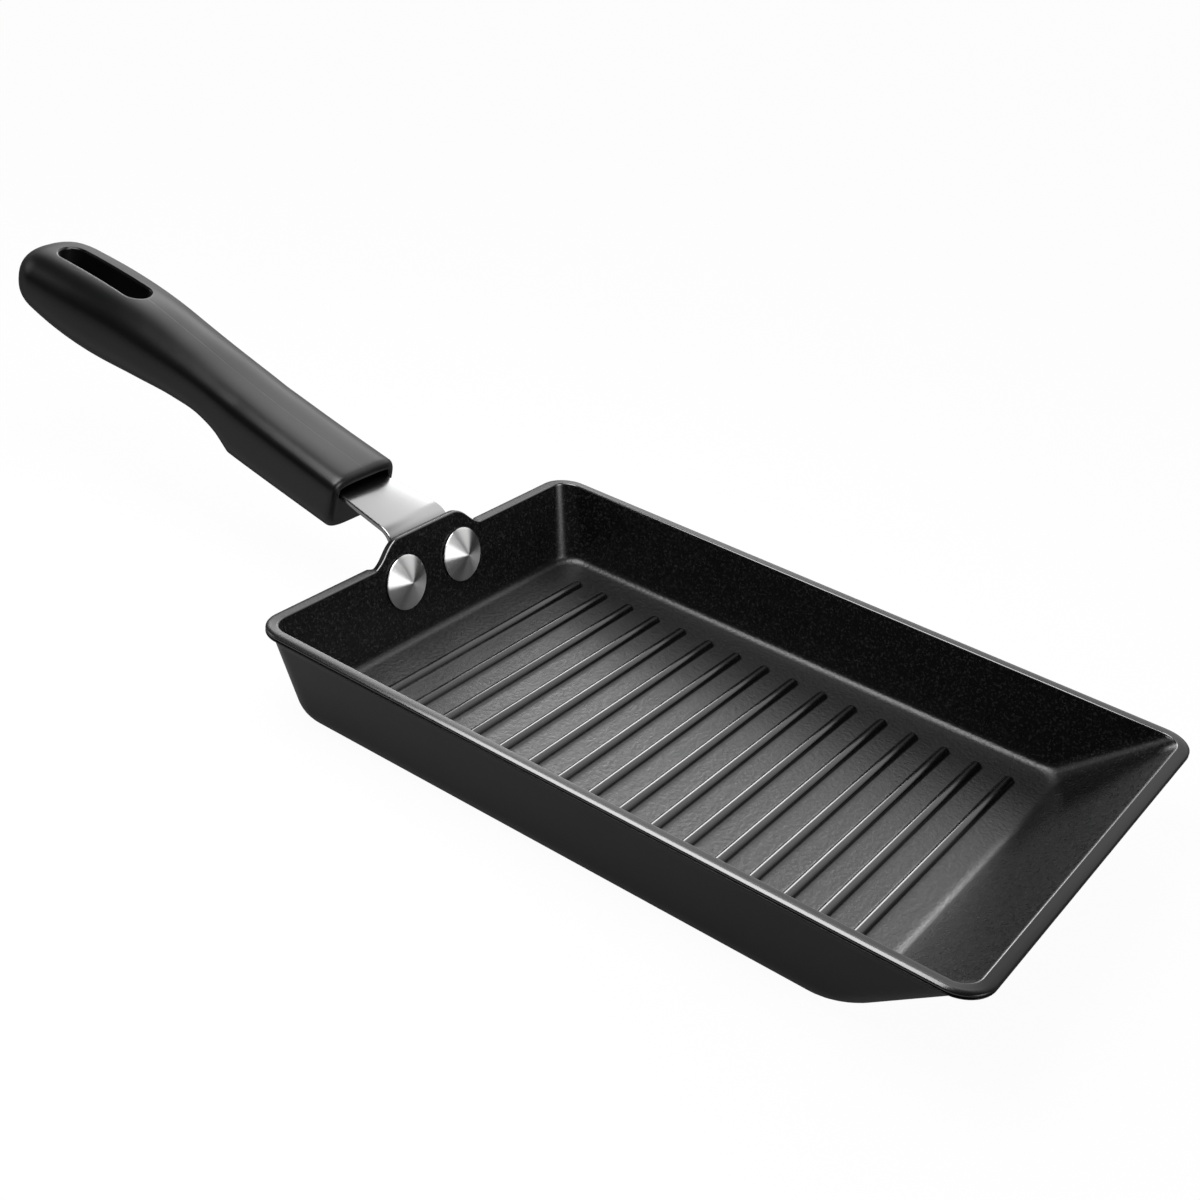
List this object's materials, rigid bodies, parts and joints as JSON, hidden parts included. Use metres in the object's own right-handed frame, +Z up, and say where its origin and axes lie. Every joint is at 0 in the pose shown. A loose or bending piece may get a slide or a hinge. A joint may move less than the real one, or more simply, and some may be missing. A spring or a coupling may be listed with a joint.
{
  "type": "grill pan",
  "caption": "Rectangular cast grill pan with raised ribs across the floor, a slanted pouring wall at the front and a riveted strap that carries a long moulded handle with a hanging slot.",
  "frame": {"origin": "middle of the flat underside that the pan rests on", "axes": "+X from the handle towards the pouring wall, +Y across the pan, +Z up"},
  "size_m": [0.4192, 0.15, 0.0795],
  "materials": {
    "cast_coating": "cast aluminium under a satin black non-stick coating with a fine orange peel",
    "strap_steel": "polished stainless steel",
    "rivet_metal": "spun satin metal",
    "grip_moulding": "satin black moulding",
    "plated_fastener": "zinc plated steel"
  },
  "bodies": {
    "root": {"pan_body": "cast_coating", "handle_bracket": "strap_steel", "rivet_left": "rivet_metal", "rivet_right": "rivet_metal", "handle_grip": "grip_moulding", "grip_screw": "plated_fastener", "screw_washer": "plated_fastener", "tongue_nut": "plated_fastener"}
  },
  "joints": []
}
